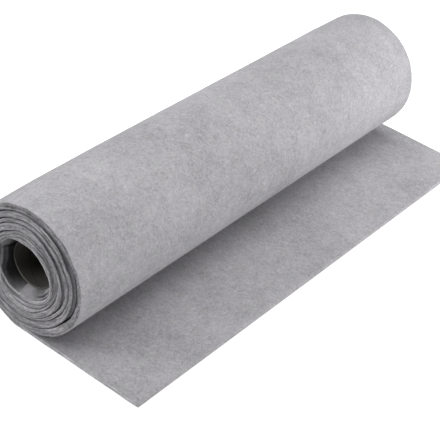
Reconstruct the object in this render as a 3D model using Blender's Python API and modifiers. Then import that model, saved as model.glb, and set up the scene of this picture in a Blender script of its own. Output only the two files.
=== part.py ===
"""Roll of felt: a felt web wound on a cardboard core, its loose end lying flat beside the roll.

The roll lies along Y. The origin is on the surface that it lies on, under the roll's axis and
halfway along the wound length. Places around the roll are counted in turns of the web from the
bottom of the outermost turn, clockwise as seen from the near end (-Y): 0 is the bottom, 0.25 the
left side, 0.5 the top, 0.75 the right side, 1 the bottom again, one layer further in.
"""

import math

import bmesh
import bpy

MM = 0.001

# The felt web.
FELT = 3.0 * MM
ROLL_RADIUS = 52.3 * MM
WOUND_WIDTH = 438.0 * MM
# Off tension the loose end lies a little wider than the wound turns.
LOOSE_OVERHANG = 13.0 * MM
LOOSE_NEAR_INSET = 0.4 * MM
LOOSE_REACH = 111.3 * MM
FREE_EDGE_SKEW = 4.6 * MM
# The roll presses this far into the web that it lies on.
SINK = 0.3 * MM
AXIS_HEIGHT = FELT + ROLL_RADIUS - SINK

# The core, set back from the ends of the roll.
CORE_RADIUS = 19.35 * MM
CORE_WALL = 1.3 * MM
CORE_SETBACK = 8.5 * MM
CORE_CLEARANCE = 0.3 * MM

# Outer surface of each layer, in mm from the axis, outermost layer first.
# Columns: bottom, low left, left, up left, top, up right, right, low right.
LAYERS = (
    (56.0, 52.6, 52.3, 52.3, 52.3, 52.3, 52.3, 52.3),
    (51.9, 48.4, 46.6, 45.1, 45.6, 44.7, 45.5, 45.8),
    (47.5, 44.8, 41.4, 39.3, 39.6, 39.7, 41.1, 39.8),
    (43.4, 41.2, 38.0, 35.6, 35.6, 34.3, 36.1, 36.9),
    (40.6, 38.0, 34.0, 30.2, 29.2, 28.8, 30.1, 32.2),
    (36.3, 33.4, 29.8, 27.3, 26.6, 25.8, 28.0, 29.8),
    (32.2, 29.0, 26.3, 24.5, 23.8, 23.2, 25.2, 27.6),
    (28.2, 26.2, 23.8, 22.4),
)
PLACES = len(LAYERS[0])
INNER_END = 7.29

# The hollow's outline at both ends, same columns.
MOUTH = (24.8, 23.8, 22.5, 20.9, 20.0, 20.4, 23.0, 25.4)

# The gaps between the layers, cut into both ends of the roll.
GROOVE_DEPTH = 6.0 * MM
GROOVE_START = 0.07
GAP = 0.8 * MM
# Where the turns stand apart. Columns: place in turns, half width in turns, added gap in mm.
OPEN_GAPS = (
    (0.69, 0.17, 2.3),
    (2.66, 0.13, 1.0),
)

# How the outermost turn narrows at the upper left. Columns: mm from the near end, mm narrower.
NARROWING = (
    (0.0, 1.8),
    (15.0, 1.2),
    (45.0, 0.5),
    (100.0, 0.0),
    (400.0, 0.0),
    (438.0, 0.5),
)
NARROWEST_PLACE = 0.42

# The outermost turn sinks into the wound body between these two places.
LAP_FULL = 0.1
LAP_END = 0.2
LAP_SINK = 1.2 * MM

BODY_POINTS = 48
CORE_STEPS = 48
LAP_STEPS = 8
# Where the loose end has its sections, as shares of its reach.
LOOSE_SECTIONS = (1.0, 0.6, 0.2)
GROOVE_STEPS_PER_TURN = 24
# Steps past the web's inner end at which the gap opens into the hollow.
FLAP_STEPS = (0.2, 1.2)
CUT_MARGIN = 2.0 * MM

NEAR = -WOUND_WIDTH / 2
FAR = WOUND_WIDTH / 2

FELT_COLOUR = (0.50, 0.495, 0.51)
CORE_COLOUR = (0.30, 0.26, 0.22)


def clear_scene():
    for existing in list(bpy.data.objects):
        bpy.data.objects.remove(existing)


def new_collection(name):
    group = bpy.data.collections.new(name)
    bpy.context.scene.collection.children.link(group)
    return group


def new_material(name, colour, roughness):
    material = bpy.data.materials.new(name)
    material.use_nodes = True
    shader = material.node_tree.nodes["Principled BSDF"]
    shader.inputs["Base Color"].default_value = (*colour, 1.0)
    shader.inputs["Roughness"].default_value = roughness
    shader.inputs["Metallic"].default_value = 0.0
    return material


def ease(share):
    """0 to 1 with a soft start and a soft end."""
    share = min(max(share, 0.0), 1.0)
    return share * share * (3 - 2 * share)


def curve_through(values, position):
    """Catmull-Rom curve through evenly spaced values, read at a position counted in values."""
    last = len(values) - 1
    start = min(max(int(math.floor(position)), 0), last - 1)
    share = position - start
    before, here, after, beyond = (
        values[min(max(start + offset, 0), last)] for offset in (-1, 0, 1, 2)
    )
    slope_here = (after - before) / 2
    slope_after = (beyond - here) / 2
    return (
        (2 * here - 2 * after + slope_here + slope_after) * share**3
        + (3 * after - 3 * here - 2 * slope_here - slope_after) * share**2
        + slope_here * share
        + here
    )


ALONG_THE_WEB = [radius for layer in LAYERS for radius in layer]


def layer_radius(turn):
    """Outer surface of the web at a place counted in turns."""
    return curve_through(ALONG_THE_WEB, turn * PLACES) * MM


def mouth_radius(turn):
    around = MOUTH[-2:] + MOUTH + MOUTH[:3]
    return curve_through(around, 2 + (turn % 1.0) * PLACES) * MM


def gap_width(turn):
    extra = sum(
        added * ease(1 - abs(turn - middle) / half_width) for middle, half_width, added in OPEN_GAPS
    )
    return GAP + extra * MM


def narrowing(y):
    """How much narrower the outermost turn is at its narrowest place."""
    along = (y - NEAR) / MM
    for (start, narrow), (end, next_narrow) in zip(NARROWING, NARROWING[1:]):
        if along <= end:
            return (narrow + (next_narrow - narrow) * (along - start) / (end - start)) * MM
    return NARROWING[-1][1] * MM


def at(turn, radius, y):
    """The point at a place around the axis, never below the surface that the roll lies on."""
    angle = -math.pi / 2 - turn * 2 * math.pi
    height = AXIS_HEIGHT + radius * math.sin(angle)
    return (radius * math.cos(angle), y, max(height, 0.0))


def loft(name, sections, group):
    """A closed solid skinned over sections that have the same number of points each."""
    work = bmesh.new()
    rings = [[work.verts.new(point) for point in section] for section in sections]
    for ring, following in zip(rings, rings[1:]):
        for i in range(len(ring)):
            j = (i + 1) % len(ring)
            work.faces.new((ring[i], ring[j], following[j], following[i]))
    work.faces.new(rings[0])
    work.faces.new(rings[-1])
    bmesh.ops.recalc_face_normals(work, faces=work.faces)
    mesh = bpy.data.meshes.new(name)
    work.to_mesh(mesh)
    work.free()
    solid = bpy.data.objects.new(name, mesh)
    group.objects.link(solid)
    return solid


def as_cutter(solid):
    solid.hide_render = True
    solid.display_type = "WIRE"


def add_boolean(solid, other, operation):
    as_cutter(other)
    boolean = solid.modifiers.new(other.name, "BOOLEAN")
    boolean.operation = operation
    boolean.solver = "EXACT"
    boolean.object = other


def wound_body(group):
    """The wound turns as one round body, narrower at its near upper left."""

    def section(y):
        narrow = narrowing(y)
        points = []
        for i in range(BODY_POINTS):
            turn = i / BODY_POINTS
            share = max(math.cos((turn - NARROWEST_PLACE) * 2 * math.pi), 0.0)
            points.append(at(turn, ROLL_RADIUS - narrow * share, y))
        return points

    return loft("felt_roll", [section(NEAR + along * MM) for along, _ in NARROWING], group)


def loose_end(group):
    """The outermost web: flat from its free edge to the roll, then lapping up its left side."""

    def section(outer, inner, y_far):
        """outer and inner are (near x, far x, z) of the web's two faces."""
        y_near = NEAR + LOOSE_NEAR_INSET
        return [
            (outer[0], y_near, outer[2]),
            (outer[1], y_far, outer[2]),
            (inner[1], y_far, inner[2]),
            (inner[0], y_near, inner[2]),
        ]

    overhang_end = FAR + LOOSE_OVERHANG
    sections = []
    for reach in LOOSE_SECTIONS:
        near_x = LOOSE_REACH * reach
        far_x = near_x + FREE_EDGE_SKEW * reach
        sections.append(section((near_x, far_x, 0.0), (near_x, far_x, FELT), overhang_end))
    for step in range(LAP_STEPS + 1):
        turn = LAP_END * step / LAP_STEPS
        buried = ease((turn - LAP_FULL) / (LAP_END - LAP_FULL)) * LAP_SINK
        radius = layer_radius(turn) - buried
        outer = at(turn, radius, 0.0)
        inner = at(turn, min(radius, AXIS_HEIGHT) - FELT, 0.0)
        y_far = overhang_end - (LOOSE_OVERHANG + CUT_MARGIN) * ease(turn / LAP_END)
        sections.append(section((outer[0], outer[0], outer[2]), (inner[0], inner[0], inner[2]), y_far))
    return loft("loose_end", sections, group)


def hollow(group):
    """The opening through the roll: uneven mouths that close in to a round bore for the core."""

    turns = [i / CORE_STEPS for i in range(CORE_STEPS)]

    def mouth(y):
        return [at(turn, mouth_radius(turn), y) for turn in turns]

    def bore(y):
        return [at(turn, CORE_RADIUS + CORE_CLEARANCE, y) for turn in turns]

    sections = [
        mouth(NEAR - CUT_MARGIN),
        mouth(NEAR + CUT_MARGIN),
        bore(NEAR + CORE_SETBACK),
        bore(FAR - CORE_SETBACK),
        mouth(FAR - CUT_MARGIN),
        mouth(FAR + CUT_MARGIN),
    ]
    return loft("hollow", sections, group)


def groove(name, y_outside, y_floor, group):
    """The spiral gap between the layers, as it shows at one end of the roll."""
    sections = []
    first = round(GROOVE_START * GROOVE_STEPS_PER_TURN)
    last = round((INNER_END - 1) * GROOVE_STEPS_PER_TURN)
    steps = [*range(first, last + 1), *(last + past for past in FLAP_STEPS)]
    for step in steps:
        turn = step / GROOVE_STEPS_PER_TURN
        inner = layer_radius(turn + 1)
        outer = inner + gap_width(turn)
        if step > last:
            inner = CORE_RADIUS
        sections.append(
            [
                at(turn, outer, y_outside),
                at(turn, outer, y_floor),
                at(turn, inner, y_floor),
                at(turn, inner, y_outside),
            ]
        )
    return loft(name, sections, group)


def felt_roll(parts, cutters, material):
    """The whole web as one solid: wound turns, hollow, gaps at both ends and the loose end."""
    body = wound_body(parts)
    add_boolean(body, loose_end(cutters), "UNION")
    add_boolean(body, hollow(cutters), "DIFFERENCE")
    near_groove = groove("near_gaps", NEAR - CUT_MARGIN, NEAR + GROOVE_DEPTH, cutters)
    far_groove = groove("far_gaps", FAR + CUT_MARGIN, FAR - GROOVE_DEPTH, cutters)
    add_boolean(body, near_groove, "DIFFERENCE")
    add_boolean(body, far_groove, "DIFFERENCE")
    body.data.materials.append(material)
    body.data.shade_smooth()
    body.data.set_sharp_from_angle(angle=math.radians(30))
    return body


def core_tube(parts, material):
    """The thin cardboard tube, turned from its wall's section around the roll's axis."""
    half = WOUND_WIDTH / 2 - CORE_SETBACK
    inner = CORE_RADIUS - CORE_WALL
    corners = ((CORE_RADIUS, half), (CORE_RADIUS, -half), (inner, -half), (inner, half))
    mesh = bpy.data.meshes.new("core_tube")
    edges = [(i, (i + 1) % len(corners)) for i in range(len(corners))]
    mesh.from_pydata([(x, 0.0, z) for x, z in corners], edges, [])
    tube = bpy.data.objects.new("core_tube", mesh)
    parts.objects.link(tube)
    screw = tube.modifiers.new("turned", "SCREW")
    screw.axis = "Z"
    screw.steps = CORE_STEPS
    screw.render_steps = CORE_STEPS
    screw.use_merge_vertices = True
    screw.merge_threshold = 0.00001
    tube.rotation_euler = (math.pi / 2, 0.0, 0.0)
    tube.location = (0.0, 0.0, AXIS_HEIGHT)
    mesh.materials.append(material)
    return tube


def main():
    clear_scene()
    parts = new_collection("roll_of_felt")
    cutters = new_collection("cutters")
    felt_roll(parts, cutters, new_material("felt", FELT_COLOUR, 0.95))
    core_tube(parts, new_material("cardboard", CORE_COLOUR, 0.85))


main()
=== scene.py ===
"""Roll of felt: one web of grey needle felt wound on a cardboard tube, its loose end lying flat.

Places around the roll are counted in turns of the web from the bottom of the outermost turn,
clockwise as seen from the near end (-Y): 0 is the bottom, 0.25 the left side, 0.5 the top,
0.75 the right side, 1 the bottom again, one layer further in. The loose end leaves the roll
at turn 0 towards +X.
"""

import math
import random

import bpy
from mathutils import Matrix, Quaternion, Vector, noise


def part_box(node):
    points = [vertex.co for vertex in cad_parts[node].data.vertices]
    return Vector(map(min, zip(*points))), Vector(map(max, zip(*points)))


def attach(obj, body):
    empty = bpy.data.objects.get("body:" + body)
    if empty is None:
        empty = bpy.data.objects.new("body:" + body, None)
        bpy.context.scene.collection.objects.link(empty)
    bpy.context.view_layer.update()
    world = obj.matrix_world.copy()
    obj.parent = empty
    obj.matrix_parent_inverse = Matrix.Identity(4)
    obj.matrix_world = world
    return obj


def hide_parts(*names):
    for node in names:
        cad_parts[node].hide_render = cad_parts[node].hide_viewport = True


MM = 0.001
TURN = 2 * math.pi

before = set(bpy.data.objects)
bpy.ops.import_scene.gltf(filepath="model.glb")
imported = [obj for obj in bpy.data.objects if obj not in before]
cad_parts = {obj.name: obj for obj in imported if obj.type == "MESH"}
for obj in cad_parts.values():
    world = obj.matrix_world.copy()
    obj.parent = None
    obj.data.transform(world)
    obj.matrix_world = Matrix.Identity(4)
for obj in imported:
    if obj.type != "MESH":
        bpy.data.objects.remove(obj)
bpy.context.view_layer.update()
roll_low, roll_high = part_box("felt_roll")
tube_low, tube_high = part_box("core_tube")

# Sizes read from the frame.
NEAR = roll_low.y
FAR = -NEAR
ROLL_RADIUS = -roll_low.x
AXIS_HEIGHT = (tube_low.z + tube_high.z) / 2
TUBE_RADIUS = (tube_high.x - tube_low.x) / 2
LOOSE_FAR = roll_high.y
FREE_EDGE_FAR = roll_high.x

# The felt web.
FELT = 3.0 * MM
FREE_EDGE_SKEW = 4.6 * MM
FREE_EDGE_NEAR = FREE_EDGE_FAR - FREE_EDGE_SKEW
LOOSE_NEAR_INSET = 0.4 * MM
INNER_END = 7.25

# Outer surface of each layer at the ends of the roll, in mm from the axis, outermost first.
# Columns: bottom, low left, left, up left, top, up right, right, low right.
LAYERS = (
    (56.0, 52.6, 52.3, 52.3, 52.3, 52.3, 52.3, 52.3),
    (51.9, 49.6, 46.8, 43.8, 43.9, 43.7, 44.4, 45.1),
    (47.7, 46.4, 42.4, 38.9, 38.0, 37.8, 39.7, 39.4),
    (43.4, 43.4, 38.9, 35.6, 34.1, 32.1, 34.3, 36.3),
    (40.4, 40.3, 35.4, 29.2, 28.9, 28.7, 30.0, 31.3),
    (36.4, 36.9, 32.4, 27.1, 25.9, 25.4, 27.3, 29.3),
    (32.4, 33.4, 29.4, 24.9, 22.8, 22.7, 25.3, 28.0),
    (29.4, 28.6, 25.8, 23.7),
)
# The gap between each layer and the next one in, in mm, same columns.
GAPS = (
    (0.3, 0.6, 0.9, 1.7, 2.0, 4.6, 4.2, 1.0),
    (1.1, 0.9, 0.9, 1.3, 1.4, 1.5, 1.3, 0.8),
    (0.6, 0.8, 0.8, 1.1, 1.6, 3.4, 2.9, 0.8),
    (0.8, 0.8, 0.9, 1.5, 1.0, 1.0, 0.9, 0.7),
    (0.8, 1.0, 0.8, 0.4, 0.7, 0.9, 0.9, 0.6),
    (0.3, 1.0, 0.8, 0.5, 0.9, 0.9, 0.7, 0.3),
    (0.4, 3.0, 2.4, 0.8),
)
# The hollow's outline at the ends of the roll, in mm from the axis, read clockwise in
# sixteenths of a turn along the web's last turn. Columns: left above, up left, high left, top,
# high right, up right, right above, right, right below, low right, below, bottom, below left,
# low left, left below, left, left above.
MOUTH = (
    25.3, 24.4, 21.2, 20.0, 19.7, 19.7, 20.4, 22.8, 25.0,
    26.2, 26.5, 26.6, 26.4, 26.6, 26.4, 25.4, 24.4,
)
MOUTH_START = 6.3125
MOUTH_PLACES = 16
# How far in from the end the felt closes in on the tube. Columns: place in turns, mm.
CLOSES_AT = (
    (6.29, 90.0),
    (6.37, 60.0),
    (6.40, 26.0),
    (6.5, 20.0),
    (6.625, 14.0),
    (6.75, 10.0),
    (6.9, 8.5),
    (7.0, 8.6),
    (7.03, 9.0),
    (7.06, 120.0),
)
PLACES = len(LAYERS[0])
ALONG_THE_WEB = [radius for layer in LAYERS for radius in layer]
ALONG_THE_GAP = [gap for layer in GAPS for gap in layer]

# Gaps up to SLIM_GAP wide are drawn at a share of their width. Of each gap the first part wavers,
# and none is under the least. Widths in mm.
SLIM_GAP = 1.0
SLIM_GAP_SHARE = 0.75
WAVERING_GAP = 0.8
LEAST_GAP = 0.15

# Inside the roll the turns lie tight, one pitch apart.
PITCH = 4.1 * MM
TIGHT_GAP = 0.15 * MM
FLARE_DEPTH = 28.0 * MM
WIDE_GAP = 0.75 * MM
WIDE_GAP_DEPTH = 12.0 * MM

# The web's last turn takes on the hollow's outline over its first stretch. It keeps some
# thickness, in mm, at its lip and deep in, and its last part bulges out behind its edge.
LAST_TURN_START = 0.09
THINNEST_AT_LIP = 0.3
THINNEST_DEEP_IN = 1.8
BELL_PLACE = 7.05
BELL_RISE = 0.03
BELL_SHARE = 0.7
BELL_DEPTH = 6.0 * MM

# Furrows and a ridge behind the corner of a layer's outer face, where the gap around it is wide.
# Columns: mm in from the web's edge, mm deep, share of the outer face's painted shade.
FURROWS = (
    (0.0, 0.0, 1.0),
    (0.5, 0.1, 1.0),
    (1.0, 1.3, 1.0),
    (1.5, 1.3, 1.0),
    (2.0, -1.2, 0.0),
    (3.0, -1.2, 0.0),
    (3.6, 1.6, 1.0),
    (4.7, 1.6, 1.0),
    (6.0, 0.6, 0.8),
    (8.6, 0.8, 0.5),
    (12.0, 0.0, 0.0),
)
FURROWED_GAP = 1.6 * MM

# How much narrower the outermost turn is at its upper left. Columns: mm from the near end, mm.
NARROWING = (
    (0.0, 1.8),
    (15.0, 1.2),
    (45.0, 0.5),
    (100.0, 0.0),
    (400.0, 0.0),
    (438.0, 0.5),
)
NARROWEST_PLACE = 0.42
# Just past the bottom the outermost turn lifts off the table sooner than a plain spiral.
FOOT_PLACE = 0.04
FOOT_HALF = 0.06
FOOT_LIFT = 1.1 * MM
# The outermost turn's shallow waves: how many in a turn, their length along the roll and height,
# and the part of a turn in which they begin.
OUTER_WAVES = 7
OUTER_WAVE_LENGTH = 45 * MM
OUTER_WAVE_HEIGHT = 0.16 * MM
OUTER_WAVE_START = 0.1

# The felt inside the lip at its lower right, folded into two slits. Columns: row's place in mm
# from the end, its depth in mm, mm in from the lip.
LIP_FOLDS = (
    (0.0, 0.0, 0.0),
    (0.5, 0.5, 0.1),
    (1.0, 1.0, 0.5),
    (1.6, 6.0, 0.9),
    (2.2, 1.4, 1.5),
    (2.8, 1.2, 2.1),
    (3.4, 2.0, 2.6),
    (4.1, 7.5, 3.1),
    (4.7, 2.9, 3.8),
    (5.3, 3.2, 4.4),
    (6.0, 4.2, 5.0),
    (7.2, 6.6, 6.1),
    (8.6, 8.6, 6.8),
    (11.0, 11.0, 6.9),
)
LIP_FOLD_MIDDLE = 6.878
LIP_FOLD_HALF = 0.085
LIP_FOLD_FULLNESS = 1.6

# The loose end: where it has come down to the plain felt's thickness, and its shallow waves.
LOOSE_SETTLED = 20 * MM
LOOSE_WAVE_ACROSS = 30 * MM
LOOSE_WAVE_ALONG = 50 * MM
LOOSE_WAVE_HEIGHT = 0.12 * MM
LOOSE_WAVE_SEED = 4.0
# The web's extra width at the far end is full from here out on the loose end, and eases out over
# this length back along the web.
OVERHANG_FULL = 40 * MM
OVERHANG_LENGTH = 105 * MM

# Unevenness along the web. Columns: waves in a turn, seed, how strong. That is a share for gaps
# and furrows, and in mm for the mouth and the edges.
LAYER_WANDER = (
    (8.0, 12.0, 0.5 * MM),
    (23.0, 17.0, 0.25 * MM),
)
GAP_WAVER = (
    (30.0, 5.0, 0.45),
    (75.0, 9.0, 0.35),
)
MOUTH_WAVER = ((40.0, 2.0, 0.35),)
FURROW_WAVER = ((9.0, 31.0, 0.4),)
NEAR_EDGE_WAVER = (
    (5.3, 3.1, 0.45),
    (17.0, 8.7, 0.3),
)
FAR_EDGE_WAVER = (
    (5.3, 23.1, 0.35),
    (17.0, 28.7, 0.3),
)
# How far the edges are set back on average, in mm, and how much less the outermost turn's near
# edge is, up to which place and over what part of a turn.
NEAR_EDGE_BACK = 0.5
FAR_EDGE_BACK = 0.35
OUTER_EDGE_SHARE = 0.2
OUTER_EDGE_END = 0.95
OUTER_EDGE_EASE = 0.2

# Rows of points along the roll, in mm from each end of the web, and how many lie between.
NEAR_ROWS = (0.5, 1.0, 1.6, 2.2, 2.8, 3.4, 4.1, 4.7, 5.3, 6.0, 7.2, 8.6, 11.0, 15.0, 22.0, 33.0, 48.0)
FAR_ROWS = (0.6, 1.4, 2.6, 4.2, 6.2, 8.6, 12.0, 18.0, 28.0, 44.0)
MIDDLE_ROWS = 12
# How far in the rows follow the web's edge, and its ragged outline.
FOLLOWS_EDGE = 60 * MM
FOLLOWS_RAGGED = 12 * MM
# Points through the thickness of a cut edge. Columns: share of the thickness, mm set back.
EDGE_POINTS = (
    (0.015, 0.48),
    (0.06, 0.24),
    (0.15, 0.10),
    (0.31, 0.02),
    (0.50, 0.00),
    (0.69, 0.02),
    (0.85, 0.10),
    (0.94, 0.24),
    (0.985, 0.48),
)
# Fibres and furrows of a cut edge. Columns: mm long along the web, how much finer through the
# thickness, seed, mm deep.
EDGE_GRAIN = (
    (22.0, 1.0, 2.0, 0.75),
    (6.0, 1.0, 0.0, 0.40),
    (1.8, 1.7, 5.0, 0.22),
)
GRAIN_HEIGHT = 0.8 * MM
NEAR_SEED = 1.0
FAR_SEED = 40.0
LOOSE_EDGE_ROUGHNESS = 0.3
# Where the felt is thick, its edge splits in two: past which thickness in mm and over how many
# mm, half the split's height as a share of the thickness, its depth in mm, how much that varies
# and over which length, and a seed.
SPLIT_THICKNESS = 4.1
SPLIT_RANGE = 1.4
SPLIT_HALF = 0.1
SPLIT_DEPTH = 0.7
SPLIT_VARIES = 0.9
SPLIT_LENGTH = 30 * MM
SPLIT_SEED = 9

# Stretches of the near edge that stand further in or out. Columns: place in turns, half the
# length in turns, mm in.
STAGGER = (
    (2.98, 0.14, 0.9),
    (3.45, 0.20, -0.5),
    (4.30, 0.25, 0.6),
    (4.68, 0.13, 0.7),
    (5.00, 0.15, -0.4),
    (5.68, 0.13, 0.8),
    (5.90, 0.25, 0.6),
    (6.22, 0.10, 5.0),
    (6.53, 0.15, -0.5),
    (6.95, 0.16, 1.0),
    (7.27, 0.13, 4.0),
)
# Stretches of the near edge that are painted greyer or paler than the rest: painted shade where
# layers stand back in shade, painted light where their edges catch the light. Columns: place in
# turns, half the length in turns, how much paler.
EDGE_PAINTED_SHADE_AND_LIGHT = (
    (0.62, 0.30, -0.22),
    (1.70, 0.16, -0.10),
    (3.68, 0.15, -0.10),
    (4.69, 0.20, -0.32),
    (5.08, 0.20, 0.16),
    (5.69, 0.20, -0.32),
    (6.08, 0.14, 0.14),
)
# The same for painted shade on the felt's outer faces down in wide gaps and on its inner faces in
# the hollow, near the near end.
OUTER_FACE_PAINTED_SHADE = (
    (1.70, 0.28, -0.45),
    (3.70, 0.26, -0.40),
)
INNER_FACE_PAINTED_SHADE = (
    (6.25, 0.13, -0.25),
    (6.91, 0.08, -0.50),
    (7.20, 0.20, -0.905),
)
# The inner face has this share of its painted shade at the edge, and all of it from this depth on.
PAINTED_SHADE_AT_EDGE = 0.4
PAINTED_SHADE_DEPTH = 7.0 * MM
# A painted highlight: the lip is paler on the inner part of its edge, between these places in turns.
LIP_PAINTED_LIGHT = 0.38
LIP_PAINTED_LIGHT_START = 6.36
LIP_PAINTED_LIGHT_RISE = 0.06
LIP_PAINTED_LIGHT_END = 7.2
LIP_PAINTED_LIGHT_FALL = 0.1
LIP_PAINTED_LIGHT_INNER = 0.55
LIP_PAINTED_LIGHT_BLEND = 0.3
# The loose end's cut edges are painted paler, as painted light.
LOOSE_EDGE_PAINTED_LIGHT = 0.5
# Stretches in these tables are even over their middle third and fade out to their ends.
STRETCH_FULLNESS = 1.5

# The rounding of the web's two end edges. Columns: mm from the edge, share of the thickness.
END_ROUNDING = (
    (0.0, 0.42),
    (0.35, 0.80),
    (1.1, 1.0),
)
# Steps along the web: on the loose end, on the outermost turn and a little past it, further in.
LOOSE_STEP = 2.5 * MM
OUTER_STEP = 1.8 * MM
INNER_STEP = 2.4 * MM
OUTER_STEP_END = 1.05


def ease(share):
    """0 to 1 with a soft start and a soft end."""
    share = min(max(share, 0.0), 1.0)
    return share * share * (3 - 2 * share)


def mix(first, second, share):
    return first + (second - first) * share


def curve_through(values, position):
    """Catmull-Rom curve through evenly spaced values, read at a position counted in values."""
    last = len(values) - 1
    start = min(max(int(math.floor(position)), 0), last - 1)
    share = position - start
    before, here, after, beyond = (
        values[min(max(start + offset, 0), last)] for offset in (-1, 0, 1, 2)
    )
    slope_here = (after - before) / 2
    slope_after = (beyond - here) / 2
    return (
        (2 * here - 2 * after + slope_here + slope_after) * share**3
        + (3 * after - 3 * here - 2 * slope_here - slope_after) * share**2
        + slope_here * share
        + here
    )


def between_rows(table, position, column=1):
    """Straight lines between the rows of a table, by its first column."""
    for here, after in zip(table, table[1:]):
        if position <= after[0]:
            share = max(position - here[0], 0.0) / (after[0] - here[0])
            return mix(here[column], after[column], share)
    return table[-1][column]


def hump(turn, middle, half, fullness=1.0):
    """1 at the middle of a stretch of the web and 0 at its ends, flat-topped where it is full."""
    return ease(fullness * (1 - abs(turn - middle) / half))


def in_stretches(table, turn):
    """What the stretches in a table add up to at a place on the web."""
    return sum(amount * hump(turn, middle, half, STRETCH_FULLNESS) for middle, half, amount in table)


def soft_noise(*where):
    """Smooth noise from about -1 to 1."""
    return noise.noise(Vector(where + (0.0,) * (3 - len(where))))


def waver(turn, table, level=0.0):
    """A level with the noise of a table's rows added."""
    return sum((strength * soft_noise(turn * waves, seed) for waves, seed, strength in table), level)


def layer_radius(turn):
    return curve_through(ALONG_THE_WEB, turn * PLACES) * MM


def gap_width(turn):
    """Widest where the table says, a little less in narrow gaps, and uneven along the web."""
    gap = curve_through(ALONG_THE_GAP, turn * PLACES)
    gap *= mix(SLIM_GAP_SHARE, 1.0, ease(gap - SLIM_GAP))
    gap += min(gap, WAVERING_GAP) * waver(turn, GAP_WAVER)
    return max(gap, LEAST_GAP) * MM


def mouth_radius(turn):
    """Straight from place to place, so that the lip has corners."""
    position = min(max((turn - MOUTH_START) * MOUTH_PLACES, 0.0), len(MOUTH) - 1.001)
    start = int(position)
    return (mix(MOUTH[start], MOUTH[start + 1], position - start) + waver(turn, MOUTH_WAVER)) * MM


def tight_radius(turn):
    """Outer surface of the web deep inside the roll."""
    whole = math.floor(turn)
    return layer_radius(turn - whole) - whole * PITCH


def depth_in(y):
    """How far a place lies from the nearer end of the wound turns."""
    return min(y - NEAR, FAR - y)


def flared_radius(turn, y):
    """Outer surface of the web: spread at the ends of the roll, tight further in."""
    at_the_end = layer_radius(turn) + waver(turn, LAYER_WANDER)
    return mix(at_the_end, tight_radius(turn), ease(depth_in(y) / FLARE_DEPTH))


def gap_at(turn, y):
    """The gap inside a layer: open at the ends of the roll, closed further in."""
    gap = gap_width(turn)
    closes_at = mix(FLARE_DEPTH, WIDE_GAP_DEPTH, ease((gap - WIDE_GAP) / WIDE_GAP))
    return mix(gap, TIGHT_GAP, ease(depth_in(y) / closes_at))


def bell(turn, y):
    """How far the web's last part bulges out behind its edge, into the gap around it."""
    last_part = ease((turn - BELL_PLACE) / BELL_RISE)
    if last_part == 0:
        return 0.0
    return BELL_SHARE * last_part * gap_at(turn - 1, y) * ease(depth_in(y) / BELL_DEPTH)


def off_the_flat(turn):
    """0 where the web leaves the table, and 1 from a sixth of a turn on."""
    return ease(turn * 6)


def near_set_back(turn):
    """How far the near edge of the web lies in from the end of the roll."""
    uneven = waver(turn, NEAR_EDGE_WAVER, NEAR_EDGE_BACK)
    uneven *= mix(OUTER_EDGE_SHARE, 1.0, ease((turn - OUTER_EDGE_END) / OUTER_EDGE_EASE))
    stagger = in_stretches(STAGGER, turn)
    return mix(LOOSE_NEAR_INSET, (max(uneven, 0.0) + stagger) * MM, off_the_flat(turn))


def far_set_back(turn, along):
    """The same at the far end, below 0 where the loose end is wider than the wound turns."""
    overhang = (LOOSE_FAR - FAR) * (1 - ease((OVERHANG_FULL - along) / OVERHANG_LENGTH))
    uneven = waver(turn, FAR_EDGE_WAVER, FAR_EDGE_BACK)
    return max(uneven, 0.0) * MM * off_the_flat(turn) - overhang


def furrow(turn, y):
    """How deep the outer face lies in a furrow behind its corner."""
    wide = ease((gap_width(turn - 1) - FURROWED_GAP) / FURROWED_GAP)
    if wide == 0:
        return 0.0
    from_edge = (depth_in(y) - near_set_back(turn)) / MM
    return wide * between_rows(FURROWS, from_edge) * MM * waver(turn, FURROW_WAVER, 1)


def outer_radius(turn, y):
    """Outer face of the web, with all that shapes the outermost turn on its own."""
    if turn >= 1.0:
        return flared_radius(turn, y) + bell(turn, y) - furrow(turn, y)
    narrow = between_rows(NARROWING, (y - NEAR) / MM) * MM
    narrow *= max(math.cos((turn - NARROWEST_PLACE) * TURN), 0.0)
    uneven = OUTER_WAVE_HEIGHT * soft_noise(turn * OUTER_WAVES, y / OUTER_WAVE_LENGTH)
    uneven *= ease((turn - OUTER_WAVE_START) / OUTER_WAVE_START)
    lifted = FOOT_LIFT * hump(turn, FOOT_PLACE, FOOT_HALF)
    return layer_radius(turn) + uneven - narrow - lifted


def lip_fold(turn):
    """Where along the web the felt inside the lip is folded, from 0 to 1."""
    return hump(turn, LIP_FOLD_MIDDLE, LIP_FOLD_HALF, LIP_FOLD_FULLNESS)


def hollow_radius(turn, y):
    """The inner surface of the last turn: uneven at the mouth, close on the tube further in."""
    depth = depth_in(y)
    mouth = mouth_radius(turn)
    tight = TUBE_RADIUS + TIGHT_GAP
    radius = mix(mouth, tight, ease(depth / (between_rows(CLOSES_AT, turn) * MM)))
    folded = max(mouth - between_rows(LIP_FOLDS, depth / MM, 2) * MM, tight)
    return mix(radius, folded, lip_fold(turn)) + bell(turn, y)


def inner_radius(turn, y):
    """Inner face of the web: a gap away from the next turn, or the hollow's wall."""
    over_the_next = min(turn, INNER_END - 1)
    inner = flared_radius(over_the_next + 1, y) + gap_at(over_the_next, y)
    if turn <= INNER_END - 1:
        return inner
    inner = mix(inner, hollow_radius(turn, y), ease((turn - INNER_END + 1) / LAST_TURN_START))
    thinnest = mix(THINNEST_AT_LIP, THINNEST_DEEP_IN, ease(depth_in(y) / FLARE_DEPTH)) * MM
    return min(inner, outer_radius(turn, y) - thinnest)


def on_the_roll(turn, radius, y):
    angle = -math.pi / 2 - turn * TURN
    height = AXIS_HEIGHT + radius * math.sin(angle)
    return Vector((radius * math.cos(angle), y, max(height, 0.0)))


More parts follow.
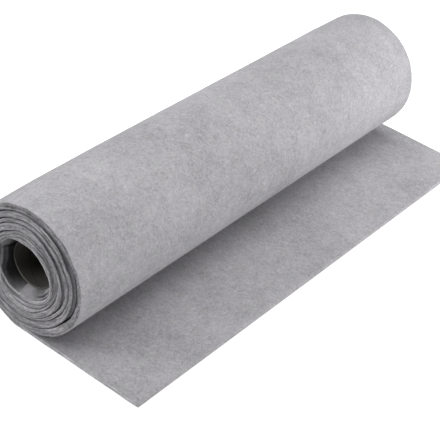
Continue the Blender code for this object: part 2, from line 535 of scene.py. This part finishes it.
def wound_point(turn, share, y):
    """share is 0 at the web's outer face and 1 at its inner face."""
    outer = on_the_roll(turn, outer_radius(turn, y), y)
    inner = on_the_roll(turn, inner_radius(turn, y), y)
    depth = depth_in(y) / MM
    if share == 1.0 and depth < LIP_FOLDS[-1][0]:
        folded_in = (between_rows(LIP_FOLDS, depth) - depth) * MM
        inner.y += folded_in * lip_fold(turn) * (1 if y < 0 else -1)
    return outer.lerp(inner, share)


def loose_point(along, share, y):
    """The same on the loose end, along metres from where the web leaves the roll."""
    across = (y - NEAR) / (LOOSE_FAR - NEAR)
    x = along * (1 + FREE_EDGE_SKEW / FREE_EDGE_NEAR * across)
    settled = ease(along / LOOSE_SETTLED)
    wave = soft_noise(x / LOOSE_WAVE_ACROSS, y / LOOSE_WAVE_ALONG, LOOSE_WAVE_SEED)
    uneven = LOOSE_WAVE_HEIGHT * wave
    top = mix(AXIS_HEIGHT - inner_radius(0.0, y), FELT + uneven, settled)
    return Vector((x, y, top * share))


def painted_outer_face_shade(turn, y):
    """How much paler the felt's outer face is painted than plain felt: painted shade where below 0.
    """
    return in_stretches(OUTER_FACE_PAINTED_SHADE, turn) * between_rows(FURROWS, (y - NEAR) / MM, 2)


def painted_inner_face_shade(turn, y):
    """The same painted shade on the inner face, in the hollow, stronger deeper in and only in the
    near half.
    """
    if y > 0:
        return 0.0
    depth_share = mix(PAINTED_SHADE_AT_EDGE, 1.0, ease((y - NEAR) / PAINTED_SHADE_DEPTH))
    return in_stretches(INNER_FACE_PAINTED_SHADE, turn) * depth_share


def painted_edge_light_and_shade(turn, along, share):
    """The same on the near edge: painted shade and painted light, with a painted highlight on the lip
    and a paler loose end.
    """
    if along > 0:
        return LOOSE_EDGE_PAINTED_LIGHT
    on_the_lip = ease((turn - LIP_PAINTED_LIGHT_START) / LIP_PAINTED_LIGHT_RISE)
    on_the_lip *= ease((LIP_PAINTED_LIGHT_END - turn) / LIP_PAINTED_LIGHT_FALL)
    on_the_lip *= ease((share - LIP_PAINTED_LIGHT_INNER) / LIP_PAINTED_LIGHT_BLEND)
    return in_stretches(EDGE_PAINTED_SHADE_AND_LIGHT, turn) + LIP_PAINTED_LIGHT * on_the_lip


def edge_texture(share, thickness, along, seed):
    """Fibres and furrows of a cut edge, as a distance inwards. The loose end's edge is neater."""
    across = share * thickness / GRAIN_HEIGHT
    fibres = sum(
        deep * soft_noise(along / (length * MM), across * finer, seed + own_seed)
        for length, finer, own_seed, deep in EDGE_GRAIN
    )
    split = ease((thickness / MM - SPLIT_THICKNESS) / SPLIT_RANGE)
    split *= math.exp(-(((share - 0.5) / SPLIT_HALF) ** 2))
    varied = SPLIT_DEPTH + SPLIT_VARIES * soft_noise(along / SPLIT_LENGTH, seed + SPLIT_SEED)
    fibres += split * varied
    return fibres * MM * (LOOSE_EDGE_ROUGHNESS if along > 0 else 1.0)


def rows_across():
    """Where the rows of points lie across the web, from its far edge to its near edge."""
    near = [NEAR + distance * MM for distance in reversed(NEAR_ROWS)]
    far = [FAR - distance * MM for distance in FAR_ROWS]
    step = (near[0] - far[-1]) / (MIDDLE_ROWS + 1)
    return far + [far[-1] + step * (i + 1) for i in range(MIDDLE_ROWS)] + near


ROWS = rows_across()


def web_section(turn, along, fullness):
    """A ring of points around the web: outer face, near edge, inner face, far edge."""
    near_back = near_set_back(turn)
    far_back = far_set_back(turn, along)
    thickness = FELT
    if along <= 0:
        thickness = outer_radius(turn, NEAR) - inner_radius(turn, NEAR)

    def point(share, y):
        share = 0.5 + (share - 0.5) * fullness
        return loose_point(along, share, y) if along > 0 else wound_point(turn, share, y)

    def row_point(share, y):
        """A point of a row, which follows the web's edges where it is near them."""
        from_near = y - NEAR
        from_far = FAR - y
        place = y + near_back * max(1 - from_near / FOLLOWS_EDGE, 0.0)
        place -= far_back * max(1 - from_far / FOLLOWS_EDGE, 0.0)
        if from_near < FOLLOWS_RAGGED:
            ragged = edge_texture(share, thickness, along, NEAR_SEED)
            place += ragged * (1 - from_near / FOLLOWS_RAGGED)
        if from_far < FOLLOWS_RAGGED:
            ragged = edge_texture(share, thickness, along, FAR_SEED)
            place -= ragged * (1 - from_far / FOLLOWS_RAGGED)
        return point(share, place)

    ring = [row_point(0.0, y) for y in ROWS]
    for share, back in EDGE_POINTS:
        deep = back * MM + edge_texture(share, thickness, along, NEAR_SEED)
        ring.append(point(share, NEAR + near_back + deep))
    ring += [row_point(1.0, y) for y in reversed(ROWS)]
    for share, back in reversed(EDGE_POINTS):
        deep = back * MM + edge_texture(share, thickness, along, FAR_SEED)
        ring.append(point(share, FAR - far_back - deep))
    return ring


def web_stations():
    """Sections from the free edge to the inner end. Columns: turn, metres along, fullness."""
    stations = [(0.0, FREE_EDGE_NEAR - back * MM, full) for back, full in END_ROUNDING]
    flat = FREE_EDGE_NEAR - LOOSE_STEP
    steps = round(flat / LOOSE_STEP)
    stations += [(0.0, flat * (1 - step / steps), 1.0) for step in range(steps)]
    turn = 0.0
    along = 0.0
    while turn < INNER_END:
        stations.append((turn, along, 1.0))
        step = OUTER_STEP if turn < OUTER_STEP_END else INNER_STEP
        turn += step / (TURN * layer_radius(turn))
        along -= step
    for back, full in reversed(END_ROUNDING):
        stations.append((turn - back * MM / (TURN * layer_radius(turn)), along - back * MM, full))
    return stations


def end_cap(count):
    """Faces over one ring of points: quads from row to row, and one face over each cut edge."""
    rows = len(ROWS)
    last = 2 * rows + len(EDGE_POINTS) - 1
    cap = [(i, i + 1, last - i - 1, last - i) for i in range(rows - 1)]
    cap.append(tuple(range(rows - 1, last - rows + 2)))
    cap.append((0, *range(last, count)))
    return cap


def web_faces(rings, count):
    """Quads between that many rings of points, with a cap over the first ring and the last."""
    faces = []
    for ring in range(rings - 1):
        first = ring * count
        for i in range(count):
            j = (i + 1) % count
            faces.append((first + i, first + j, first + count + j, first + count + i))
    cap = end_cap(count)
    last = (rings - 1) * count
    faces += [tuple(reversed(corners)) for corners in cap]
    faces += [tuple(last + corner for corner in corners) for corners in cap]
    return faces


def map_flat(mesh, stations, ring):
    """A flat map of the web in metres: along it, and around one of its rings of points."""
    count = len(ring)
    around = [0.0]
    for here, after in zip(ring, ring[1:]):
        around.append(around[-1] + (after - here).length)
    flat_map = mesh.uv_layers.new(name="flat_cloth")
    for polygon in mesh.polygons:
        corners = [mesh.loops[loop].vertex_index for loop in polygon.loop_indices]
        wraps = {0, count - 1} <= {corner % count for corner in corners} and len(corners) == 4
        for loop, corner in zip(polygon.loop_indices, corners):
            across = around[corner % count]
            if wraps and corner % count == 0:
                across = around[-1] + 1 * MM
            flat_map.data[loop].uv = (stations[corner // count][1], across)


def mark_felt(mesh, stations):
    """Marks the cut edges, and how much paler each place is painted than plain felt: painted light
    and painted shade.
    """
    face = [0.0] * len(ROWS)
    edge = [1.0] * len(EDGE_POINTS)
    marks = (face + edge + face + edge) * len(stations)
    painted_values = []
    for turn, along, _ in stations:
        painted_values += [painted_outer_face_shade(turn, y) for y in ROWS]
        painted_values += [painted_edge_light_and_shade(turn, along, share) for share, _ in EDGE_POINTS]
        painted_values += [painted_inner_face_shade(turn, y) for y in reversed(ROWS)]
        painted_values += [0.0] * len(EDGE_POINTS)
    mesh.attributes.new("cut_edge", "FLOAT", "POINT").data.foreach_set("value", marks)
    mesh.attributes.new("painted_light_and_shade", "FLOAT", "POINT").data.foreach_set("value", painted_values)


def build_web():
    """The whole web as one closed sheet, from the free edge through all its turns."""
    stations = web_stations()
    rings = [web_section(*station) for station in stations]
    points = [point for ring in rings for point in ring]
    mesh = bpy.data.meshes.new("felt_web")
    mesh.from_pydata(points, [], web_faces(len(rings), len(rings[0])))
    web = bpy.data.objects.new("felt_web", mesh)
    bpy.context.scene.collection.objects.link(web)
    mesh.shade_smooth()
    map_flat(mesh, stations, rings[len(rings) // 3])
    mark_felt(mesh, stations)
    return web


TUBE_SIDES = 128
TUBE_WALL = 1.3 * MM
RIM_BEVEL = 0.3 * MM
RIM_SEGMENTS = 3
RIM_ANGLE = math.radians(40)
SHARP_ANGLE = math.radians(35)


def build_tube():
    """The paperboard tube: an open cylinder given its wall, with softened rims."""
    bpy.ops.object.select_all(action="DESELECT")
    bpy.ops.mesh.primitive_cylinder_add(
        vertices=TUBE_SIDES,
        radius=TUBE_RADIUS,
        depth=tube_high.y - tube_low.y,
        end_fill_type="NOTHING",
        location=(0.0, (tube_low.y + tube_high.y) / 2, AXIS_HEIGHT),
        rotation=(math.pi / 2, 0.0, 0.0),
    )
    tube = bpy.context.object
    tube.name = "paperboard_tube"
    bpy.ops.object.transform_apply(location=True, rotation=True, scale=True)
    wall = tube.modifiers.new("wall", "SOLIDIFY")
    wall.thickness = TUBE_WALL
    wall.offset = -1.0
    bpy.ops.object.modifier_apply(modifier=wall.name)
    rims = tube.modifiers.new("rims", "BEVEL")
    rims.width = RIM_BEVEL
    rims.segments = RIM_SEGMENTS
    rims.limit_method = "ANGLE"
    rims.angle_limit = RIM_ANGLE
    bpy.ops.object.modifier_apply(modifier=rims.name)
    bpy.ops.object.shade_smooth_by_angle(angle=SHARP_ANGLE)
    return tube


# Loose fibres that stand out of the felt. Columns: name, whether they grow on the cut edges,
# seed, how many, shortest and longest in mm.
LOOSE_FIBRES = (
    ("edge_fibres", True, 11, 9500, 0.4, 1.5),
    ("surface_fibres", False, 14, 5500, 0.5, 1.6),
)
FIBRE_WIDTH = 0.08 * MM
FIBRE_RINGS = (0.0, 0.4, 0.75)
FIBRE_SIDES = 3
FIBRE_TAPER = 0.5
# A fibre bends sideways by a share of its length between these, and its foot is this deep in mm.
FIBRE_LEAST_BEND = 0.2
FIBRE_MOST_BEND = 0.9
FIBRE_FOOT = 0.2
FIBRE_LEAN = 0.8
FIBRE_CLEARANCE = 0.02 * MM
# Fibres don't grow on faces that look down more steeply than this.
LOOKS_DOWN = -0.5


def add_fibre(points, faces, root, out, length, draw):
    """One closed, tapered and bent fibre, its foot just inside the felt."""
    side = out.orthogonal().normalized()
    side.rotate(Quaternion(out, draw.uniform(0.0, TURN)))
    other = out.cross(side)
    bend = draw.uniform(FIBRE_LEAST_BEND, FIBRE_MOST_BEND) * length
    first = len(points)
    foot = root - out * FIBRE_FOOT * MM
    for share in FIBRE_RINGS:
        middle = foot + out * length * share + side * bend * share * share
        width = FIBRE_WIDTH / 2 * (1 - FIBRE_TAPER * share)
        for corner in range(FIBRE_SIDES):
            angle = TURN * corner / FIBRE_SIDES
            points.append(middle + (side * math.cos(angle) + other * math.sin(angle)) * width)
    points.append(foot + out * length + side * bend)
    tip = len(points) - 1
    for point in points[first:]:
        point.z = max(point.z, FIBRE_CLEARANCE)
    faces.append(tuple(first + corner for corner in reversed(range(FIBRE_SIDES))))
    for ring in range(len(FIBRE_RINGS) - 1):
        low = first + ring * FIBRE_SIDES
        high = low + FIBRE_SIDES
        for corner in range(FIBRE_SIDES):
            after = (corner + 1) % FIBRE_SIDES
            faces.append((low + corner, low + after, high + after, high + corner))
    low = tip - FIBRE_SIDES
    for corner in range(FIBRE_SIDES):
        faces.append((low + corner, low + (corner + 1) % FIBRE_SIDES, tip))


def fibre_roots(web, on_edges):
    """Faces of the web that fibres grow from: its cut edges, or the faces that show."""
    marks = web.data.attributes["cut_edge"].data
    chosen = []
    for polygon in web.data.polygons:
        edge = min(marks[v].value for v in polygon.vertices) > 0.5
        middle = polygon.center
        from_axis = math.hypot(middle.x, middle.z - AXIS_HEIGHT)
        outermost = from_axis > ROLL_RADIUS - FELT / 2 or middle.x > ROLL_RADIUS
        shows = outermost and middle.z > FELT / 2 and polygon.normal.z > LOOKS_DOWN
        if edge if on_edges else shows and not edge:
            chosen.append(polygon)
    return chosen


def build_fibres(web, name, on_edges, seed, count, shortest, longest):
    """Short loose fibres in one mesh, spread evenly over the faces that they grow from."""
    draw = random.Random(seed)
    chosen = fibre_roots(web, on_edges)
    areas = [polygon.area for polygon in chosen]
    points = []
    faces = []
    corners = web.data.vertices
    for polygon in draw.choices(chosen, areas, k=count):
        shares = [draw.random() for _ in polygon.vertices]
        total = sum(shares)
        parts = (corners[v].co * share for v, share in zip(polygon.vertices, shares))
        root = sum(parts, Vector()) / total
        lean = Vector([draw.uniform(-1, 1) for _ in range(3)])
        out = (polygon.normal + lean * FIBRE_LEAN).normalized()
        length = draw.uniform(shortest, longest) * MM
        add_fibre(points, faces, root, out, length, draw)
    mesh = bpy.data.meshes.new(name)
    mesh.from_pydata(points, [], faces)
    fibres = bpy.data.objects.new(name, mesh)
    bpy.context.scene.collection.objects.link(fibres)
    mesh.shade_smooth()
    return fibres


def shader_material(name):
    material = bpy.data.materials.new(name)
    material.use_nodes = True
    shader = material.node_tree.nodes["Principled BSDF"]
    return material, material.node_tree, shader


def put_node(tree, kind, feeds, **settings):
    """A new node with its settings, and what feeds its inputs by name or number."""
    node = tree.nodes.new(kind)
    for setting, value in settings.items():
        setattr(node, setting, value)
    for name, feed in feeds.items():
        if isinstance(feed, bpy.types.NodeSocket):
            tree.links.new(feed, node.inputs[name])
        else:
            node.inputs[name].default_value = feed
    return node


def maths(tree, operation, *values):
    feeds = dict(enumerate(values))
    return put_node(tree, "ShaderNodeMath", feeds, operation=operation).outputs[0]


def vector_maths(tree, operation, *values):
    feeds = dict(enumerate(values))
    return put_node(tree, "ShaderNodeVectorMath", feeds, operation=operation).outputs[0]


def cloud(tree, where, size, detail):
    """Soft noise with clumps of about that size, in metres."""
    feeds = {"Vector": where, "Scale": 1 / size, "Detail": detail}
    return put_node(tree, "ShaderNodeTexNoise", feeds).outputs["Fac"]


def stretch(tree, value, low, high, new_low=0.0, new_high=1.0):
    feeds = {"Value": value, "From Min": low, "From Max": high, "To Min": new_low, "To Max": new_high}
    return put_node(tree, "ShaderNodeMapRange", feeds).outputs["Result"]


def blend(tree, share, first, second, how="MIX"):
    feeds = {0: share, 6: first, 7: second}
    node = put_node(tree, "ShaderNodeMix", feeds, data_type="RGBA", blend_type=how)
    return node.outputs[2]


def add_share(tree, value, part, share):
    """A value with a share of another one added, or taken off where the share is below 0."""
    return maths(tree, "ADD", value, maths(tree, "MULTIPLY", part, share))


def build_group(name, inputs, outputs):
    """An empty node group. Columns of inputs: name, kind of socket, value; of outputs: name."""
    group = bpy.data.node_groups.new(name, "ShaderNodeTree")
    for label, kind, value in inputs:
        socket = group.interface.new_socket(label, in_out="INPUT", socket_type=kind)
        if value is not None:
            socket.default_value = value
    for label in outputs:
        group.interface.new_socket(label, in_out="OUTPUT", socket_type="NodeSocketFloat")
    given = group.nodes.new("NodeGroupInput").outputs
    result = group.nodes.new("NodeGroupOutput").inputs
    return group, given, result


# A stray fibre follows the middle value of a curly noise, and shows only in some patches, which
# are somewhat larger than its curls.
MIDDLE_VALUE = 0.5
CURL_BEND = 0.8
PATCH_SCALE = 0.8
PATCH_EDGE = 12.0


def build_stray_fibres():
    """Short curly fibres lying on a surface, as a mask."""
    inputs = (
        ("Place", "NodeSocketVector", None),
        ("Scale", "NodeSocketFloat", 400.0),
        ("Width", "NodeSocketFloat", 0.02),
        ("Bareness", "NodeSocketFloat", 0.5),
    )
    group, given, result = build_group("stray_fibres", inputs, ("Mask",))
    curl_feeds = {"Vector": given["Place"], "Scale": given["Scale"]}
    curl_feeds.update({"Detail": 1.0, "Distortion": CURL_BEND})
    curl = put_node(group, "ShaderNodeTexNoise", curl_feeds).outputs["Fac"]
    off_line = maths(group, "ABSOLUTE", maths(group, "SUBTRACT", curl, MIDDLE_VALUE))
    line = maths(group, "SUBTRACT", 1.0, maths(group, "DIVIDE", off_line, given["Width"]))
    line = maths(group, "MAXIMUM", line, 0.0)
    patch_scale = maths(group, "MULTIPLY", given["Scale"], PATCH_SCALE)
    patch_feeds = {"Vector": given["Place"], "Scale": patch_scale, "Detail": 0.0}
    patch = put_node(group, "ShaderNodeTexNoise", patch_feeds).outputs["Fac"]
    kept = maths(group, "MULTIPLY", maths(group, "SUBTRACT", patch, given["Bareness"]), PATCH_EDGE)
    kept = maths(group, "MINIMUM", maths(group, "MAXIMUM", kept, 0.0), 1.0)
    group.links.new(maths(group, "MULTIPLY", line, kept), result["Mask"])
    return group


def stray_mask(tree, stray_fibres, where, looks):
    feeds = {"Place": where, **looks}
    return put_node(tree, "ShaderNodeGroup", feeds, node_tree=stray_fibres).outputs["Mask"]


FELT_GREY = (0.404, 0.395, 0.414, 1.0)
YELLOWISH = (1.0, 1.004, 0.992, 1.0)
VIOLET = (1.0, 0.996, 1.008, 1.0)
# Clouds of the two tints. Columns: size in metres, detail; and the noise's range that is used.
TINT_CLOUDS = (0.008, 1.0)
TINT_RANGE = (0.4, 0.6)
# Clouds of lighter and darker felt. Columns: size in metres, detail, how strong.
FELT_MOTTLING = (
    (0.0007, 1.0, 0.20),
    (0.0017, 1.0, 0.22),
    (0.0045, 1.0, 0.13),
    (0.011, 2.0, 0.14),
    (0.045, 1.0, 0.15),
    (0.11, 0.0, 0.10),
)
# Stray fibres on the felt, darker and lighter, and how strong.
DARK_STRAYS = {"Scale": 520.0, "Width": 0.05, "Bareness": 0.46}
DARK_STRAY_SHADE = 0.22
LIGHT_STRAYS = {"Scale": 420.0, "Width": 0.05, "Bareness": 0.46}
LIGHT_STRAY_SHADE = 0.24
LIGHT_STRAYS_MOVED = (3.1, 1.7, 0.4)
# Streaks and tufts of a cut edge. Columns: how the flat map is squeezed, size in metres, detail.
STREAKS = ((0.05, 0.6, 1.0), 0.0007, 2.0)
TUFTS = ((0.45, 0.8, 1.0), 0.0011, 1.0)
STREAK_SHADE = 0.47
TUFT_SHADE = 0.20
STREAK_RANGE = (0.3, 0.7)
# Bumps of matted fibres. Columns: size in metres, detail.
FINE_BUMPS = (0.0009, 2.0)
BROAD_BUMPS = (0.0035, 1.0)
STRAY_HEIGHT = 0.25
STREAK_HEIGHT = 1.2
FELT_BUMP = {"Strength": 0.6, "Distance": 0.00025}
FELT_FINISH = {
    "Roughness": 0.95,
    "Specular IOR Level": 0.25,
    "Sheen Weight": 0.04,
    "Sheen Roughness": 0.5,
}


def edge_cloud(tree, flat, squeeze, size, detail):
    """Soft noise drawn out along the layers of a cut edge."""
    return cloud(tree, vector_maths(tree, "MULTIPLY", flat, squeeze), size, detail)


def build_felt(stray_fibres):
    """Grey needle felt: matted fibres, darker flecks, lighter strays, cut-edge streaks, painted shade
    and light.
    """
    material, tree, shader = shader_material("needle_felt")
    where = put_node(tree, "ShaderNodeTexCoord", {}).outputs["Object"]
    shade = 1.0
    for size, detail, strength in FELT_MOTTLING:
        part = stretch(tree, cloud(tree, where, size, detail), 0.0, 1.0, -strength, strength)
        shade = maths(tree, "ADD", shade, part)
    dark = stray_mask(tree, stray_fibres, where, DARK_STRAYS)
    moved = vector_maths(tree, "ADD", where, LIGHT_STRAYS_MOVED)
    light = stray_mask(tree, stray_fibres, moved, LIGHT_STRAYS)
    shade = add_share(tree, shade, dark, -DARK_STRAY_SHADE)
    shade = add_share(tree, shade, light, LIGHT_STRAY_SHADE)

    cut = put_node(tree, "ShaderNodeAttribute", {}, attribute_name="cut_edge").outputs["Fac"]
    painted_light_shade = put_node(tree, "ShaderNodeAttribute", {}, attribute_name="painted_light_and_shade").outputs["Fac"]
    flat = put_node(tree, "ShaderNodeUVMap", {}, uv_map="flat_cloth").outputs["UV"]
    streaks = edge_cloud(tree, flat, *STREAKS)
    tufts = edge_cloud(tree, flat, *TUFTS)
    streak_shade = stretch(tree, streaks, *STREAK_RANGE, -STREAK_SHADE, STREAK_SHADE)
    tuft_shade = stretch(tree, tufts, *STREAK_RANGE, -TUFT_SHADE, TUFT_SHADE)
    edge_and_painted_shade = maths(tree, "MULTIPLY", cut, maths(tree, "ADD", streak_shade, tuft_shade))
    edge_and_painted_shade = maths(tree, "ADD", edge_and_painted_shade, 1.0)
    # Painted shade and painted light carried on the web.
    edge_and_painted_shade = maths(tree, "ADD", edge_and_painted_shade, painted_light_shade)
    shade = maths(tree, "MULTIPLY", shade, edge_and_painted_shade)

    violet_share = stretch(tree, cloud(tree, where, *TINT_CLOUDS), *TINT_RANGE)
    tint = blend(tree, violet_share, YELLOWISH, VIOLET)
    grey = blend(tree, 1.0, FELT_GREY, tint, "MULTIPLY")
    grey = blend(tree, 1.0, grey, shade, "MULTIPLY")
    tree.links.new(grey, shader.inputs["Base Color"])

    height = maths(tree, "ADD", cloud(tree, where, *FINE_BUMPS), cloud(tree, where, *BROAD_BUMPS))
    height = add_share(tree, height, light, STRAY_HEIGHT)
    grooves = maths(tree, "MULTIPLY", cut, maths(tree, "SUBTRACT", streaks, MIDDLE_VALUE))
    height = add_share(tree, height, grooves, STREAK_HEIGHT)
    bump = put_node(tree, "ShaderNodeBump", {"Height": height, **FELT_BUMP})
    tree.links.new(bump.outputs["Normal"], shader.inputs["Normal"])
    for name, value in FELT_FINISH.items():
        shader.inputs[name].default_value = value
    return material


# Darker than plain paperboard: painted shade for the deep hollow that the tube lies in.
PAPER_BROWN_WITH_PAINTED_SHADE = (0.080, 0.074, 0.066, 1.0)
# Clouds in the paper, as size in metres and detail, and the shades that their range of noise gets.
PAPER_CLOUDS = (0.0009, 2.0)
PAPER_CLOUD_RANGE = (0.2, 0.8)
PAPER_CLOUD_SHADES = (0.85, 1.15)
PAPER_FIBRES = {"Scale": 600.0, "Width": 0.03, "Bareness": 0.5}
PAPER_FIBRE_SHADE = 0.35
PAPER_GRAIN = (0.0006, 2.0)
PAPER_BUMP = {"Strength": 0.5, "Distance": 0.0002}
PAPER_ROUGHNESS = 0.8
# The plies' seam: how far it goes along the tube in a turn, its share of that, how dark it is.
PLY_LEAN = 0.055
SEAM_WIDTH = 0.012
SEAM_SHADE = 0.45
# The rims are painted paler at the bottom, as painted light, and darker from the middle up, as
# painted shade under the felt's lip; the paper is darker in its top half, as painted shade.
RIM_DEPTH = 0.45 * MM
RIM_PAINTED_LIGHT = 0.6
RIM_PAINTED_SHADE = 0.6
RIM_PAINTED_LIGHT_BELOW = -16 * MM
RIM_PAINTED_SHADE_ABOVE = -2 * MM
UPPER_PAINTED_SHADE = 0.5
UPPER_PAINTED_SHADE_RANGE = 12 * MM


def build_paperboard(stray_fibres):
    """Spiral-wound paperboard: a lean seam where the plies meet, paper fibres, and painted light and
    shade on its rims and top half.
    """
    material, tree, shader = shader_material("paperboard")
    where = put_node(tree, "ShaderNodeTexCoord", {}).outputs["Object"]
    clouds = cloud(tree, where, *PAPER_CLOUDS)
    shade = stretch(tree, clouds, *PAPER_CLOUD_RANGE, *PAPER_CLOUD_SHADES)
    fibres = stray_mask(tree, stray_fibres, where, PAPER_FIBRES)
    shade = add_share(tree, shade, fibres, PAPER_FIBRE_SHADE)

    parts = put_node(tree, "ShaderNodeSeparateXYZ", {0: where}).outputs
    height = maths(tree, "SUBTRACT", parts["Z"], AXIS_HEIGHT)
    around = maths(tree, "DIVIDE", maths(tree, "ARCTAN2", height, parts["X"]), TURN)
    along = maths(tree, "DIVIDE", parts["Y"], PLY_LEAN)
    across_ply = maths(tree, "FRACT", maths(tree, "ADD", around, along))
    seam = maths(tree, "LESS_THAN", across_ply, SEAM_WIDTH)
    seam_shade = maths(tree, "SUBTRACT", 1.0, maths(tree, "MULTIPLY", seam, SEAM_SHADE))
    shade = maths(tree, "MULTIPLY", shade, seam_shade)

    from_middle = maths(tree, "ABSOLUTE", parts["Y"])
    rim = maths(tree, "GREATER_THAN", from_middle, tube_high.y - RIM_DEPTH)
    # Painted light along the bottom of each rim, painted shade from its middle up.
    rim_painted_light_and_shade = stretch(tree, height, RIM_PAINTED_LIGHT_BELOW, RIM_PAINTED_SHADE_ABOVE, RIM_PAINTED_LIGHT, -RIM_PAINTED_SHADE)
    rim_painted_factor = maths(tree, "ADD", 1.0, maths(tree, "MULTIPLY", rim, rim_painted_light_and_shade))
    shade = maths(tree, "MULTIPLY", shade, rim_painted_factor)
    # Painted shade over the top half of the paper.
    upper_painted_shade = stretch(tree, height, -UPPER_PAINTED_SHADE_RANGE, UPPER_PAINTED_SHADE_RANGE, 1.0, UPPER_PAINTED_SHADE)
    shade = maths(tree, "MULTIPLY", shade, upper_painted_shade)
    tree.links.new(blend(tree, 1.0, PAPER_BROWN_WITH_PAINTED_SHADE, shade, "MULTIPLY"), shader.inputs["Base Color"])

    depth = maths(tree, "SUBTRACT", cloud(tree, where, *PAPER_GRAIN), seam)
    bump = put_node(tree, "ShaderNodeBump", {"Height": depth, **PAPER_BUMP})
    tree.links.new(bump.outputs["Normal"], shader.inputs["Normal"])
    shader.inputs["Roughness"].default_value = PAPER_ROUGHNESS
    return material


# The floor and the backdrop are brighter to the camera than they are as lights.
WHITE = (1.0, 1.0, 1.0, 1.0)
FLOOR_GREY = (0.40, 0.40, 0.40, 1.0)
FLOOR_ROUGHNESS = 0.9
FLOOR_SIZE = 12.0
FLOOR_DROP = 0.3 * MM
FLOOR_GLOW = 0.33
FLOOR_GLOW_SEEN = 0.90
BACKDROP_GLOW = 0.01
BACKDROP_SEEN = 0.98


def camera_glow(tree, glow, glow_seen):
    """One strength for light on its way, and another for what the camera sees."""
    seen = put_node(tree, "ShaderNodeLightPath", {}).outputs["Is Camera Ray"]
    return stretch(tree, seen, 0.0, 1.0, glow, glow_seen)


def build_floor():
    bpy.ops.mesh.primitive_plane_add(size=FLOOR_SIZE, location=(0.0, 0.0, -FLOOR_DROP))
    floor = bpy.context.object
    floor.name = "floor"
    material, tree, shader = shader_material("pale_floor")
    shader.inputs["Base Color"].default_value = FLOOR_GREY
    shader.inputs["Roughness"].default_value = FLOOR_ROUGHNESS
    shader.inputs["Emission Color"].default_value = WHITE
    glow = camera_glow(tree, FLOOR_GLOW, FLOOR_GLOW_SEEN)
    tree.links.new(glow, shader.inputs["Emission Strength"])
    floor.data.materials.append(material)


# The camera, fitted to the photograph's edges.
CAMERA_AZIMUTH = math.radians(31.996)
CAMERA_ELEVATION = math.radians(35.814)
CAMERA_ROLL = math.radians(10.007)
CAMERA_TARGET = Vector((46.34, -52.98, 41.84)) * MM
CAMERA_DISTANCE = 1030.2 * MM
FOCAL_PIXELS = 1339.6
PICTURE_PIXELS = 440
SENSOR_WIDTH = 36.0
NEAREST_SEEN = 0.05
FARTHEST_SEEN = 50.0


def build_camera():
    back = Vector(
        (
            math.sin(CAMERA_AZIMUTH) * math.cos(CAMERA_ELEVATION),
            -math.cos(CAMERA_AZIMUTH) * math.cos(CAMERA_ELEVATION),
            math.sin(CAMERA_ELEVATION),
        )
    )
    level_right = Vector((math.cos(CAMERA_AZIMUTH), math.sin(CAMERA_AZIMUTH), 0.0))
    level_up = back.cross(level_right)
    right = level_right * math.cos(CAMERA_ROLL) + level_up * math.sin(CAMERA_ROLL)
    up = back.cross(right)
    data = bpy.data.cameras.new("camera")
    data.sensor_width = SENSOR_WIDTH
    data.lens = FOCAL_PIXELS / PICTURE_PIXELS * data.sensor_width
    data.clip_start = NEAREST_SEEN
    data.clip_end = FARTHEST_SEEN
    camera = bpy.data.objects.new("camera", data)
    bpy.context.scene.collection.objects.link(camera)
    turned = Matrix((right, up, back)).transposed().to_4x4()
    camera.matrix_world = Matrix.Translation(CAMERA_TARGET + back * CAMERA_DISTANCE) @ turned
    bpy.context.scene.camera = camera
    bpy.context.scene.view_settings.view_transform = "Standard"


# Soft lights, none of them seen by the camera. Columns: name, place in metres, size in
# metres, power in watts.
LIGHTS = (
    ("overhead", (0.1, 0.1, 1.6), 1.6, 21.7),
    ("near_left", (-1.0, -1.3, 1.0), 1.0, 13.5),
    ("left", (-1.4, 0.1, 1.1), 1.0, 9.9),
    ("right_low", (1.6, 0.3, 0.35), 0.7, 10.9),
    ("far_right", (0.26, 0.30, 0.12), 0.10, 0.36),
)
LIGHTS_AIM = Vector((0.03, 0.0, 0.05))


def build_lights():
    for name, place, size, power in LIGHTS:
        data = bpy.data.lights.new(name, "AREA")
        data.shape = "SQUARE"
        data.size = size
        data.energy = power
        lamp = bpy.data.objects.new(name, data)
        lamp.location = place
        aim = LIGHTS_AIM - lamp.location
        lamp.rotation_euler = aim.to_track_quat("-Z", "Y").to_euler()
        lamp.visible_camera = False
        bpy.context.scene.collection.objects.link(lamp)


def build_backdrop():
    world = bpy.data.worlds.new("studio")
    world.use_nodes = True
    tree = world.node_tree
    backdrop = tree.nodes["Background"]
    backdrop.inputs["Color"].default_value = WHITE
    tree.links.new(camera_glow(tree, BACKDROP_GLOW, BACKDROP_SEEN), backdrop.inputs["Strength"])
    bpy.context.scene.world = world


stray_fibres = build_stray_fibres()
felt = build_felt(stray_fibres)
web = build_web()
web.data.materials.append(felt)
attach(web, "root")
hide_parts("felt_roll")

for row in LOOSE_FIBRES:
    fibres = build_fibres(web, *row)
    fibres.data.materials.append(felt)
    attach(fibres, "root")
    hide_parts("felt_roll")

tube = build_tube()
tube.data.materials.append(build_paperboard(stray_fibres))
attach(tube, "root")
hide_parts("core_tube")

build_floor()
build_camera()
build_lights()
build_backdrop()
